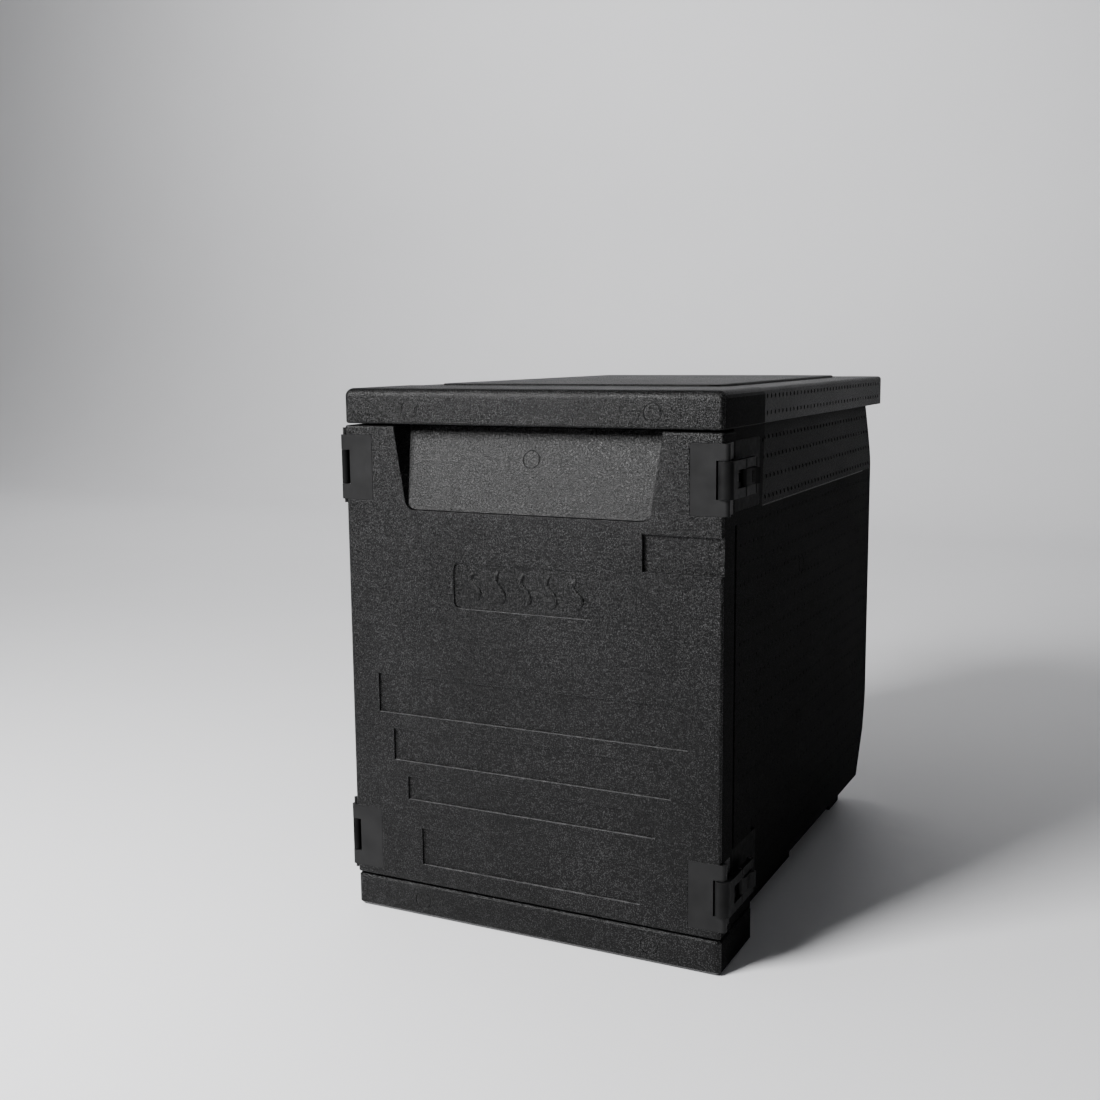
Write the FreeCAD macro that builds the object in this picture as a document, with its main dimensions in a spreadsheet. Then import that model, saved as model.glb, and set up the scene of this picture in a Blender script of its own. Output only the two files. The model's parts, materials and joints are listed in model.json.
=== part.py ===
"""Insulated food carrier: a front-loading box of expanded polypropylene foam for 60 x 40 cm trays.

The carrier stands on the XY plane with its front facing -Y and +Z up. Its origin is on the floor, in the
middle of the foam body's width and depth. The door hangs on two pins at its left edge and is held at its
right edge by two draw latches. All sizes are in millimetres.
"""
import FreeCAD, Part
import math
import os
import Sketcher

DIMENSIONS = [
    ("width", 510.0, "width of the top slab, the door and the front foot"),
    ("depth", 770.0, "depth of the top slab"),
    ("height", 687.0, "height of the top slab's upper face"),
    ("slab_height", 44.5, "thickness of the top slab's edge"),
    ("foot_height", 43.5, "height of the front foot block"),
    ("foot_depth", 117.0, "depth of the front foot block"),
    ("wall_inset", 4.0, "how far the side walls stand in from the slab's sides"),
    ("rear_inset", 35.0, "how far the rear wall stands in from the slab's rear edge"),
    ("corner_radius", 34.0, "radius of the body's rear vertical corners"),
    ("slab_corner", 12.0, "radius of the slab's rear corners"),
    ("slab_block", 152.0, "depth of the slab's full-width front block"),
    ("slab_step", 3.0, "step in from the slab's front block to its rear part"),
    ("slab_drop", 1.0, "step down from the slab's front block to its rear part"),
    ("slab_nose", 10.0, "rounding of the slab's upper front edge"),
    ("block_corner", 7.0, "radius of the vertical corners of the slab's front block and the foot"),
    ("edge_round", 3.0, "rounding of the edges on both sides of the door's gaps"),
    ("tail_round", 5.0, "rounding of the upper edges of the slab's rear part"),
    ("foot_bevel", 5.0, "bevel round the underside of the front foot block"),
    ("belly_height", 36.0, "height of the body's underside between the feet"),
    ("taper_top", 200.0, "height where the walls begin to draw in towards the floor"),
    ("taper", 13.0, "how far the walls draw in at the underside"),
    ("plinth_half", 217.0, "half width of the plinth under the body"),
    ("plinth_rear", 320.0, "rear end of the plinth"),
    ("plinth_corner", 30.0, "radius of the plinth's rear corners"),
    ("arch_front", 20.0, "front end of the finger arch in the plinth"),
    ("arch_rear", 240.0, "rear end of the finger arch in the plinth"),
    ("arch_depth", 40.0, "depth of the finger arch in from the plinth's side"),
    ("door_thick", 42.0, "thickness of the door's outer flange"),
    ("door_gap", 2.2, "gap between the door and the slab or the foot"),
    ("seat_gap", 1.5, "gap between the door's flange and the body's front face"),
    ("cabin_width", 426.0, "width of the cabin between its side walls"),
    ("cabin_floor", 62.0, "height of the cabin's floor"),
    ("cabin_top", 624.0, "height of the cabin's ceiling"),
    ("cabin_rear", 304.0, "rear wall of the cabin"),
    ("cabin_corner", 16.0, "radius of the cabin's rear corners"),
    ("plug_depth", 25.0, "how far the door's plug reaches into the cabin"),
    ("plug_gap", 4.0, "gap between the plug and the cabin's walls"),
    ("plug_round", 6.0, "rounding of the plug's inner rim"),
    ("door_corner", 4.0, "radius of the door's vertical corners"),
    ("channel_foot", 140.0, "lower end of the channel in the wall's front edge"),
    ("channel_top", 530.0, "upper end of the channel in the wall's front edge"),
    ("channel_width", 13.0, "width of the channel in the wall's front edge"),
    ("channel_depth", 9.0, "depth of the channel in the wall's front edge"),
    ("rail_depth", 20.0, "how far a tray rail stands out of the side wall"),
    ("rail_height", 20.0, "height of a tray rail"),
    ("rail_pitch", 60.0, "distance from one tray rail to the next"),
    ("rail_round", 5.0, "rounding of a tray rail's inner edges"),
    ("first_rail", 86.0, "height of the lowest rail's underside"),
    ("grip_foot", 543.0, "lower edge of the finger grips in the walls"),
    ("grip_front", -235.0, "front end of the side grips"),
    ("grip_rear", 360.0, "rear end of the side grips, past the body's rear corners"),
    ("grip_depth", 16.0, "depth of the finger grips under the slab"),
    ("grip_draw", 8.0, "how far a grip's end draws in from its foot to its top"),
    ("rear_grip_half", 150.0, "half width of the finger grip in the rear wall"),
    ("panel_rise", 2.5, "height of the raised stacking panel on the slab"),
    ("panel_half", 196.0, "half width of the stacking panel"),
    ("panel_front", -247.0, "front edge of the stacking panel"),
    ("panel_rear", 300.0, "rear edge of the stacking panel"),
    ("panel_corner", 14.0, "radius of the stacking panel's corners"),
    ("panel_round", 2.0, "rounding of the stacking panel's upper edge"),
    ("pull_top_half", 182.0, "half width of the door's finger recess at its top"),
    ("pull_foot_half", 165.0, "half width of the door's finger recess at its foot"),
    ("pull_foot", 535.0, "lower edge of the door's finger recess"),
    ("pull_foot_depth", 3.0, "depth of the door's finger recess at its foot"),
    ("pull_depth", 28.0, "depth of the door's finger recess under the slab"),
    ("pull_draft", 18.0, "draft of the finger recess's sides in degrees"),
    ("pull_corner", 14.0, "radius of the finger recess's lower corners"),
    ("label_depth", 2.5, "depth of the label fields in the door"),
    ("badge_half", 98.0, "half width of the badge field"),
    ("badge_foot", 415.0, "lower edge of the badge field"),
    ("badge_top", 473.0, "upper edge of the badge field"),
    ("badge_depth", 2.0, "depth of the badge field"),
    ("badge_corner", 10.0, "radius of the badge field's corners"),
    ("tab_inner", 156.0, "inner end of the side pull recess in the door"),
    ("tab_foot", 477.5, "lower edge of the side pull recess"),
    ("tab_top", 521.5, "upper edge of the side pull recess"),
    ("tab_depth", 5.0, "depth of the side pull recess in the door"),
    ("upper_level", 587.0, "height of the upper hinge and latch"),
    ("lower_level", 97.0, "height of the lower hinge and latch"),
    ("plate_height", 82.0, "height of a door plate"),
    ("plate_inner", 214.5, "inner edge of a door plate from the middle"),
    ("plate_thick", 5.0, "thickness of a door plate"),
    ("edge_leg", 4.0, "thickness of a door plate's leg on the door's side face"),
    ("slot_height", 44.0, "height of the slot in a door plate"),
    ("slot_inner", 248.0, "inner edge of a hinge plate's slot from the middle"),
    ("keeper_slot", 245.5, "inner edge of a keeper plate's slot from the middle"),
    ("pin_x", 258.0, "distance of the hinge axis from the middle"),
    ("keeper_x", 256.0, "distance of the keeper bar from the middle"),
    ("pin_setback", 5.0, "distance of the hinge axis and the keeper bar behind the door's front face"),
    ("knuckle_radius", 5.0, "radius of a plate's knuckles round the hinge axis or the keeper bar"),
    ("hinge_pin_radius", 2.5, "radius of a hinge pin"),
    ("keeper_radius", 2.6, "radius of the keeper bar in a latch plate"),
    ("running_gap", 0.05, "radial clearance of a running pin"),
    ("hinge_arm", 5.0, "thickness of the hinge bracket's arm"),
    ("arm_offset", 9.5, "sideways offset of the arm from the hinge axis"),
    ("bracket_height", 82.0, "height of a bracket on the body"),
    ("bracket_thick", 5.0, "thickness of a bracket's side plate"),
    ("bracket_rear", -246.0, "rear end of the brackets' side plates"),
    ("latch_x", 262.0, "distance of the latch pins from the middle"),
    ("latch_pin_y", -300.0, "place of the pin that joins the hook to its bracket"),
    ("lever_pin_y", -337.0, "place of the pin that joins the lever to the hook"),
    ("latch_pin_radius", 2.0, "radius of the latch pins"),
    ("hook_height", 43.0, "height of a latch hook"),
    ("hook_rail", 11.0, "height of the hook frame's upper and lower rails"),
    ("hook_inner", 3.6, "inner radius of the hook's roll"),
    ("hook_outer", 9.4, "outer radius of the hook's roll"),
    ("lug_height", 6.0, "height of a bracket lug"),
    ("lug_gap", 0.8, "gap between a lug and its neighbour along the pin"),
    ("latch_eye", 4.2, "outer radius of the hook's and the lever's eyes"),
    ("window_front", -366.0, "front end of the window in the hook"),
    ("lever_tip", -307.0, "rear end of the lever's finger tab"),
    ("anchor_thick", 3.0, "thickness of an anchor plate"),
    ("anchor_sink", 3.0, "how far a door anchor plate lies below the door's rear face"),
    ("seat_clear", 0.3, "clearance between a fitting and its seat in the foam"),
    ("hole_clear", 0.2, "radial clearance of a screw in the foam and in an anchor plate"),
    ("screw_spread", 28.0, "distance of a fitting's screws above and below its middle"),
    ("screw_radius", 2.5, "radius of a screw's shank"),
    ("screw_head_radius", 4.6, "radius of a screw's head"),
    ("screw_head", 2.4, "height of a screw's head"),
]

doc = FreeCAD.newDocument("food_carrier")
sheet = doc.addObject("Spreadsheet::Sheet", "dims")


class Size:
    """A length with its present value and the formula that reads it from the sheet."""

    def __init__(self, number, text=""):
        self.number = float(number)
        self.text = text or f"{self.number:.6g}"

    def joined(self, other, sign, number):
        return Size(number, f"({self.text} {sign} ({size(other).text}))")

    def __add__(self, other):
        return self.joined(other, "+", self.number + size(other).number)

    def __radd__(self, other):
        return size(other) + self

    def __sub__(self, other):
        return self.joined(other, "-", self.number - size(other).number)

    def __rsub__(self, other):
        return size(other) - self

    def __mul__(self, other):
        return self.joined(other, "*", self.number * size(other).number)

    def __rmul__(self, other):
        return size(other) * self

    def __truediv__(self, other):
        return self.joined(other, "/", self.number / size(other).number)

    def __neg__(self):
        return size(0) - self


def size(value):
    return value if isinstance(value, Size) else Size(value)


def fill_sheet():
    """Write the driving dimensions and give each cell its name."""
    for row, (alias, number, meaning) in enumerate(DIMENSIONS, start=1):
        sheet.set(f"A{row}", alias)
        sheet.set(f"B{row}", str(number))
        sheet.set(f"C{row}", meaning)
        sheet.setAlias(f"B{row}", alias)
    doc.recompute()
    return {alias: Size(sheet.get(alias), f"dims.{alias}") for alias, _, _ in DIMENSIONS}


D = fill_sheet()

FRONT = -D["depth"] / 2
REAR = D["depth"] / 2
SIDE = D["width"] / 2
WALL = SIDE - D["wall_inset"]
BODY_REAR = REAR - D["rear_inset"]
DOOR_REAR = FRONT + D["door_thick"]
BODY_FRONT = DOOR_REAR + D["seat_gap"]
SLAB_FOOT = D["height"] - D["slab_height"]
DOOR_TOP = SLAB_FOOT - D["door_gap"]
DOOR_FOOT = D["foot_height"] + D["door_gap"]
CABIN = D["cabin_width"] / 2
PLUG_SIDE = CABIN - D["plug_gap"]
PLUG_REAR = DOOR_REAR + D["plug_depth"]
PIN_Y = FRONT + D["pin_setback"]
LEVELS = {"upper": D["upper_level"], "lower": D["lower_level"]}
RAIL_COUNT = 9


def bind(item, **values):
    """Give an object's properties their sizes; a double underscore stands for a dot."""
    for name, value in values.items():
        item.setExpression(name.replace("__", "."), size(value).text)
    return item


def settle(item):
    item.recompute()
    return item


# ---------------------------------------------------------------- Part primitives and booleans


def block(name, low, high):
    """A box between its lowest and highest corners."""
    solid = bind(
        doc.addObject("Part::Box", name),
        Length=size(high[0]) - low[0],
        Width=size(high[1]) - low[1],
        Height=size(high[2]) - low[2],
        Placement__Base__x=low[0],
        Placement__Base__y=low[1],
        Placement__Base__z=low[2],
    )
    return settle(solid)


def mirrored_block(name, side, inner, outer, low, high):
    """A box on one side of the middle plane, from |x| inner to outer, with y and z from low to high."""
    near, far = (inner, outer) if side > 0 else (-size(outer), -size(inner))
    return block(name, (near, *low), (far, *high))


def rod(name, radius, base, length, axis="z"):
    """A cylinder that starts at base and runs along +x, +y or +z."""
    solid = doc.addObject("Part::Cylinder", name)
    way = {"x": FreeCAD.Vector(1, 0, 0), "y": FreeCAD.Vector(0, 1, 0), "z": FreeCAD.Vector(0, 0, 1)}[axis]
    turn = FreeCAD.Rotation(FreeCAD.Vector(0, 0, 1), way)
    solid.Placement = FreeCAD.Placement(FreeCAD.Vector(), turn)
    bind(
        solid,
        Radius=radius,
        Height=length,
        Placement__Base__x=base[0],
        Placement__Base__y=base[1],
        Placement__Base__z=base[2],
    )
    return settle(solid)


def fused(name, parts):
    joined = doc.addObject("Part::MultiFuse", name)
    joined.Shapes = parts
    joined.Refine = True
    return settle(joined)


def group(name, parts):
    """Separate solids in one object."""
    joined = doc.addObject("Part::Compound", name)
    joined.Links = parts
    return settle(joined)


def cut(name, base, tools):
    """The base less every tool."""
    result = doc.addObject("Part::Cut", name)
    result.Base = base
    result.Tool = tools[0] if len(tools) == 1 else fused(name + "_tools", tools)
    result.Refine = True
    return settle(result)


def rounded(name, base, *rules):
    """Round the edges that each rule picks; a rule is a radius and a test on an edge."""
    result = doc.addObject("Part::Fillet", name)
    result.Base = base
    result.Edges = picked_edges(base.Shape, rules)
    return settle(result)


def bevelled(name, base, *rules):
    result = doc.addObject("Part::Chamfer", name)
    result.Base = base
    result.Edges = picked_edges(base.Shape, rules)
    return settle(result)


def picked_edges(shape, rules):
    chosen = []
    taken = set()
    for radius, test in rules:
        for number, edge in enumerate(shape.Edges, start=1):
            if number not in taken and test(edge):
                taken.add(number)
                chosen.append((number, size(radius).number, size(radius).number))
    return chosen


def near(value, target):
    return abs(value - size(target).number) < 0.02


def upright(edge):
    """True for a straight vertical edge."""
    ends = edge.Vertexes
    flat = len(ends) == 2 and near(ends[0].X, ends[1].X) and near(ends[0].Y, ends[1].Y)
    return flat and abs(ends[0].Z - ends[1].Z) > 1


def upright_at(x=None, y=None):
    """Vertical edges at |x| and at y."""

    def test(edge):
        point = edge.Vertexes[0]
        return upright(edge) and (x is None or near(abs(point.X), x)) and (y is None or near(point.Y, y))

    return test


def level_at(z, y=None):
    """Edges that lie wholly at height z, and at y where it is given."""

    def test(edge):
        box = edge.BoundBox
        level = near(box.ZMin, z) and near(box.ZMax, z)
        return level and (y is None or (near(box.YMin, y) and near(box.YMax, y)))

    return test


OUTWARD = {
    "right": (FreeCAD.Vector(1, 0, 0), FreeCAD.Vector(0, 1, 0)),
    "left": (FreeCAD.Vector(-1, 0, 0), FreeCAD.Vector(0, -1, 0)),
    "rear": (FreeCAD.Vector(0, 1, 0), FreeCAD.Vector(-1, 0, 0)),
    "front": (FreeCAD.Vector(0, -1, 0), FreeCAD.Vector(1, 0, 0)),
}


def leaning_recess(name, face, at, foot_run, top_run, rise, deep, proud):
    """A finger recess whose floor leans from nothing at its foot to its full depth at its top.

    It is cut into the wall that faces one of OUTWARD's ways, whose face lies at a distance from the middle.
    The runs are its ends along the wall and rise is its lowest and highest height. At its foot and at its
    top it is as deep as the pair deep says, and proud is how far the tool stands out of the wall.
    """
    out, along = OUTWARD[face]
    tool = doc.addObject("Part::Wedge", name)
    turn = FreeCAD.Rotation(along, FreeCAD.Vector(0, 0, 1), out, "XYZ")
    tool.Placement = FreeCAD.Placement(out * size(at).number, turn)
    if out.x:
        bind(tool, Placement__Base__x=size(at) * out.x)
    else:
        bind(tool, Placement__Base__y=size(at) * out.y)
    flip = along.x + along.y < 0
    foot = (-size(foot_run[1]), -size(foot_run[0])) if flip else foot_run
    top = (-size(top_run[1]), -size(top_run[0])) if flip else top_run
    bind(tool, Xmin=foot[0], Xmax=foot[1], X2min=top[0], X2max=top[1], Ymin=rise[0], Ymax=rise[1])
    bind(tool, Zmin=-size(deep[0]), Z2min=-size(deep[1]), Zmax=proud, Z2max=proud)
    return settle(tool)


# ---------------------------------------------------------------- PartDesign bodies


def new_body(label):
    body = doc.addObject("PartDesign::Body", label)
    body.Label = label
    return body


def origin_plane(body, role):
    return next(item for item in body.Origin.OriginFeatures if item.Role == role)


def plan_sketch(body, name, level, role="XY_Plane"):
    """An empty sketch on one of the body's own planes, moved to a level along the plane's normal."""
    sketch = body.newObject("Sketcher::SketchObject", f"{body.Name}_{name}")
    sketch.AttachmentSupport = [(origin_plane(body, role), "")]
    sketch.MapMode = "FlatFace"
    bind(sketch, AttachmentOffset__Base__z=level)
    return sketch


def draw_outline(sketch, corners):
    """A closed outline of straight lines, with each corner held to the sheet."""
    start = sketch.GeometryCount
    spots = [FreeCAD.Vector(size(x).number, size(y).number, 0) for x, y in corners]
    for here, there in zip(spots, spots[1:] + spots[:1]):
        sketch.addGeometry(Part.LineSegment(here, there), False)
    count = len(corners)
    for step in range(count):
        following = (step + 1) % count
        sketch.addConstraint(Sketcher.Constraint("Coincident", start + step, 2, start + following, 1))
    for step, corner in enumerate(corners, start=start):
        hold_point(sketch, step, 1, corner)
    return sketch


def hold_point(sketch, element, vertex, place):
    """Hold one point of a sketch to its distances from the sketch's origin."""
    for kind, value in zip(("DistanceX", "DistanceY"), place):
        held = sketch.addConstraint(Sketcher.Constraint(kind, -1, 1, element, vertex, size(value).number))
        title = f"{kind}_{element}"
        sketch.renameConstraint(held, title)
        sketch.setExpression(f"Constraints.{title}", size(value).text)


def draw_circle(sketch, centre, radius):
    """A circle whose centre and radius are held to the sheet."""
    spot = FreeCAD.Vector(size(centre[0]).number, size(centre[1]).number, 0)
    ring = sketch.addGeometry(Part.Circle(spot, FreeCAD.Vector(0, 0, 1), size(radius).number), False)
    hold_point(sketch, ring, 3, centre)
    held = sketch.addConstraint(Sketcher.Constraint("Radius", ring, size(radius).number))
    sketch.renameConstraint(held, f"Radius_{ring}")
    sketch.setExpression(f"Constraints.Radius_{ring}", size(radius).text)
    return sketch


def rectangle(low, high):
    """The corners of a rectangle between two points."""
    return [(low[0], low[1]), (high[0], low[1]), (high[0], high[1]), (low[0], high[1])]


def feature(body, kind, name, sketch, length):
    """A pad or pocket that reaches half its length to each side of its sketch."""
    made = body.newObject(f"PartDesign::{kind}", f"{body.Name}_{name}")
    made.Profile = sketch
    made.SideType = "Symmetric"
    bind(made, Length=length)
    before = body.Shape.Volume if kind == "Pocket" else 0
    doc.recompute()
    body.Tip = made
    if kind == "Pocket" and not made.Shape.Volume < before - 0.1:
        raise RuntimeError(f"{made.Name} cuts nothing")
    return made


def pad(body, name, level, length, outline=None, circle=None):
    sketch = plan_sketch(body, name + "_sketch", level)
    if outline:
        draw_outline(sketch, outline)
    if circle:
        draw_circle(sketch, *circle)
    return feature(body, "Pad", name, sketch, length)


def pocket(body, name, level, length, outline=None, circle=None):
    sketch = plan_sketch(body, name + "_sketch", level)
    if outline:
        draw_outline(sketch, outline)
    if circle:
        draw_circle(sketch, *circle)
    return feature(body, "Pocket", name, sketch, length)


def sided(side, *points):
    """Points given as (|x|, y), put on one side of the middle plane."""
    return [(size(x) * side, y) for x, y in points]


# ---------------------------------------------------------------- the foam body


def slab():
    """The top slab: a full-width block at the front, a slightly narrower rear part and a stacking panel."""
    block_rear = FRONT + D["slab_block"]
    overlap = 30
    sunk = 5
    head = block("slab_front", (-SIDE, FRONT, SLAB_FOOT), (SIDE, block_rear, D["height"]))
    head = rounded("slab_front_round", head, (D["block_corner"], upright))
    nose = (D["slab_nose"], level_at(D["height"], FRONT))
    lip = (D["edge_round"], level_at(SLAB_FOOT, FRONT))
    head = rounded("slab_front_soft", head, nose, lip)
    rear_side = SIDE - D["slab_step"]
    rear_top = D["height"] - D["slab_drop"]
    tail = block("slab_rear", (-rear_side, block_rear - overlap, SLAB_FOOT), (rear_side, REAR, rear_top))
    tail = rounded("slab_rear_round", tail, (D["slab_corner"], upright_at(y=REAR)))
    tail = rounded("slab_rear_soft", tail, (D["tail_round"], level_at(rear_top)))
    panel_top = D["height"] + D["panel_rise"]
    panel = block(
        "stacking_panel",
        (-D["panel_half"], D["panel_front"], D["height"] - sunk),
        (D["panel_half"], D["panel_rear"], panel_top),
    )
    panel = rounded("stacking_panel_round", panel, (D["panel_corner"], upright))
    panel = rounded("stacking_panel_soft", panel, (D["panel_round"], level_at(panel_top)))
    return [head, tail, panel]


def walls():
    """The upright box below the slab; its walls draw in towards the floor behind the front foot."""
    core = block("walls_block", (-WALL, BODY_FRONT, D["belly_height"]), (WALL, BODY_REAR, SLAB_FOOT + 1))
    core = rounded("walls_round", core, (D["corner_radius"], upright_at(y=BODY_REAR)))
    run = (FRONT + D["foot_depth"] + 4, REAR + 40)
    rise = (D["belly_height"] - 1, D["taper_top"])
    deep = (D["taper"], 0)
    proud = 30
    tools = [
        leaning_recess(f"taper_{face}", face, WALL, run, run, rise, deep, proud)
        for face in ("right", "left")
    ]
    across = (-SIDE - proud, SIDE + proud)
    rear_deep = (D["taper"] * 2, 0)
    tools.append(leaning_recess("taper_rear", "rear", BODY_REAR, across, across, rise, rear_deep, proud))
    return cut("walls_tapered", core, tools)


def feet():
    """The front foot block and the plinth, which has a finger arch in each side."""
    foot_rear = FRONT + D["foot_depth"]
    front = block("front_foot", (-SIDE, FRONT, 0), (SIDE, foot_rear, D["foot_height"]))
    front = rounded("front_foot_round", front, (D["block_corner"], upright))
    upper_bevel = 2
    rims = [(D["foot_bevel"], level_at(0)), (upper_bevel, level_at(D["foot_height"]))]
    front = bevelled("front_foot_bevel", front, *rims)
    plinth = block(
        "plinth_block",
        (-D["plinth_half"], foot_rear - 10, 0),
        (D["plinth_half"], D["plinth_rear"], D["belly_height"] + 10),
    )
    plinth = rounded("plinth_round", plinth, (D["plinth_corner"], upright_at(y=D["plinth_rear"])))
    arches = [
        mirrored_block(
            f"arch_{side}",
            side,
            D["plinth_half"] - D["arch_depth"],
            D["plinth_half"] + 10,
            (D["arch_front"], -1),
            (D["arch_rear"], D["belly_height"]),
        )
        for side in (-1, 1)
    ]
    return [front, cut("plinth", plinth, arches)]


def cabin():
    """The space for the trays, open at the front."""
    space = block(
        "cabin_space", (-CABIN, BODY_FRONT - 1, D["cabin_floor"]), (CABIN, D["cabin_rear"], D["cabin_top"])
    )
    return rounded("cabin_space_round", space, (D["cabin_corner"], upright_at(y=D["cabin_rear"])))


def rails(side):
    """Ledges on one of the cabin's side walls that carry the trays."""
    inner = CABIN - D["rail_depth"]
    made = []
    for step in range(RAIL_COUNT):
        foot = D["first_rail"] + D["rail_pitch"] * step
        low = (PLUG_REAR + 8, foot)
        high = (D["cabin_rear"] - 20, foot + D["rail_height"])
        ledge = mirrored_block(f"rail_{step}_{side}", side, inner, CABIN, low, high)
        made.append(rounded(f"rail_{step}_{side}_soft", ledge, (D["rail_round"], rail_nose(inner))))
    return made


def rail_nose(inner):
    """The long edges of a rail's inner face."""

    def test(edge):
        box = edge.BoundBox
        lengthwise = box.YLength > 50
        return lengthwise and near(abs(box.XMin), inner) and near(abs(box.XMax), inner)

    return test


def wall_grips():
    """Finger recesses under the slab in both side walls and in the rear wall."""
    rise = (D["grip_foot"], SLAB_FOOT)
    run = (D["grip_front"], D["grip_rear"])
    draw = D["grip_draw"]
    top_run = (D["grip_front"] + draw, D["grip_rear"])
    deep = (0, D["grip_depth"])
    proud = 20
    tools = [
        leaning_recess(f"grip_{face}", face, WALL, run, top_run, rise, deep, proud)
        for face in ("right", "left")
    ]
    half = D["rear_grip_half"]
    across, top_across = (-half, half), (draw - half, half - draw)
    rear = leaning_recess("grip_rear_wall", "rear", BODY_REAR, across, top_across, rise, deep, proud)
    return tools + [rear]


def screw_heights(level):
    """The heights of the two screws of a plate or bracket."""
    return [level - D["screw_spread"], level + D["screw_spread"]]


ANCHOR_FRONT = PLUG_REAR + 4
BRACKET_SCREWS = [ANCHOR_FRONT + 10, D["bracket_rear"] - 12]


def bracket_seats():
    """Recesses in the walls, outside for brackets and inside for anchor plates, with their screw holes."""
    tools = []
    clear = D["seat_clear"]
    reach = D["bracket_height"] / 2 + clear
    for name, level in LEVELS.items():
        for side in (-1, 1):
            place = f"{name}_{side}"
            low, high = level - reach, level + reach
            inner = WALL - D["bracket_thick"] - D["hole_clear"]
            rear_high = (D["bracket_rear"] + clear, high)
            seat = mirrored_block(f"seat_{place}", side, inner, WALL + 5, (BODY_FRONT - 1, low), rear_high)
            backing = CABIN + D["anchor_thick"] + D["hole_clear"]
            front_low = (ANCHOR_FRONT - clear, low)
            hollow = mirrored_block(f"anchor_seat_{place}", side, CABIN - 2, backing, front_low, rear_high)
            tools += [seat, hollow]
            for height in screw_heights(level):
                for row, across in enumerate(BRACKET_SCREWS):
                    hole = screw_hole(f"wall_hole_{place}_{row}_{int(height.number)}", side, across, height)
                    tools.append(hole)
    return tools


def screw_hole(name, side, along, height):
    length = WALL - CABIN + 4
    start = CABIN - 2 if side > 0 else -(WALL + 2)
    return rod(name, D["screw_radius"] + D["hole_clear"], (start, along, height), length, "x")


def edge_channels():
    """An upright channel in the front edge of each side wall, between the brackets."""
    inner = WALL - D["channel_depth"]
    rear = BODY_FRONT + D["channel_width"]
    low, high = (BODY_FRONT - 1, D["channel_foot"]), (rear, D["channel_top"])
    return [mirrored_block(f"channel_{side}", side, inner, WALL + 3, low, high) for side in (-1, 1)]


def foam_box():
    """The foam body in one: slab, walls, feet and cabin with its grips and seats, but without its rails."""
    outside = fused("body_outside", slab() + [walls()] + feet())
    tools = [cabin()] + wall_grips() + bracket_seats() + edge_channels()
    return cut("body_hollow", outside, tools)


def body_blocks():
    """The foam body in five blocks that meet on flat planes, each one a simple shape."""
    whole = foam_box()
    far = D["depth"]
    floor, ceiling = D["cabin_floor"], D["cabin_top"]
    corner = D["cabin_rear"] - D["cabin_corner"]
    roof = [
        block("slab_region", (-far, -far, SLAB_FOOT), (far, far, far)),
        block("ceiling_region", (-CABIN, -far, ceiling), (CABIN, corner, SLAB_FOOT)),
    ]
    regions = {
        "top_slab": fused("top_region", roof),
        "base_block": block("base_region", (-far, -far, -far), (far, far, floor)),
        "wall_left": block("left_region", (-far, -far, floor), (-CABIN, far, SLAB_FOOT)),
        "wall_right": block("right_region", (CABIN, -far, floor), (far, far, SLAB_FOOT)),
        "wall_rear": block("rear_region", (-CABIN, corner, floor), (CABIN, far, SLAB_FOOT)),
    }
    return {label: shared(label, whole, region) for label, region in regions.items()}


def shared(name, first, second):
    """What two shapes have in common."""
    common = doc.addObject("Part::Common", name)
    common.Base = first
    common.Tool = second
    return settle(common)


def tray_rails(label, side):
    """The rails of one wall, less the seats of the anchor plates that lie behind them."""
    reach = D["bracket_height"] / 2 + D["seat_clear"]
    gaps = [
        mirrored_block(
            f"rail_gap_{name}_{side}",
            side,
            CABIN - D["rail_depth"] - 1,
            CABIN + 1,
            (PLUG_REAR, level - reach),
            (D["bracket_rear"] + D["seat_clear"], level + reach),
        )
        for name, level in LEVELS.items()
    ]
    return cut(label, group(label + "_full", rails(side)), gaps)


# ---------------------------------------------------------------- the foam door


def pull_recess():
    """The wide finger recess under the slab: a leaning floor inside a trapezium with drafted sides."""
    spread = D["pull_top_half"] + 20
    run = (-spread, spread)
    rise = (D["pull_foot"], DOOR_TOP + 1)
    deep = (D["pull_foot_depth"], D["pull_depth"])
    proud = 5
    floor = leaning_recess("pull_floor", "front", D["depth"] / 2, run, run, rise, deep, proud)
    corners = (D["pull_corner"], leaning_back(D["pull_foot"]))
    outline = rounded("pull_outline_round", pull_outline(), corners)
    return shared("pull_recess", floor, outline)


def pull_outline():
    """The recess's trapezium, carried on above the door and narrowing towards the rear."""
    proud = 1
    above = 30
    foot, top = D["pull_foot_half"], D["pull_top_half"]
    slope = (top - foot) / (DOOR_TOP - D["pull_foot"])
    wide = top + slope * above
    high = DOOR_TOP + above
    body = new_body("pull_outline")
    sketch = plan_sketch(body, "sketch", D["depth"] / 2 + proud, "XZ_Plane")
    draw_outline(sketch, [(-foot, D["pull_foot"]), (foot, D["pull_foot"]), (wide, high), (-wide, high)])
    form = body.newObject("PartDesign::Pad", "pull_outline_form")
    form.Profile = sketch
    form.Reversed = True
    bind(form, Length=D["pull_depth"] + 10, TaperAngle=-D["pull_draft"])
    doc.recompute()
    body.Tip = form
    return body


def leaning_back(height):
    """Edges that start at a height and run front to back."""

    def test(edge):
        box = edge.BoundBox
        return near(box.ZMin, height) and box.YLength > 20

    return test


LABEL_FIELDS = [(213.0, 270.0, 321.0), (192.0, 208.0, 250.0), (172.0, 157.5, 188.0), (152.5, 72.0, 121.0)]


def label_fields():
    """Four shallow fields for labels, each narrower than the one above it."""
    deep = FRONT + D["label_depth"]
    return [
        block(f"label_{number}", (-half, FRONT - 5, low), (half, deep, high))
        for number, (half, low, high) in enumerate(LABEL_FIELDS, start=1)
    ]


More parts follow.
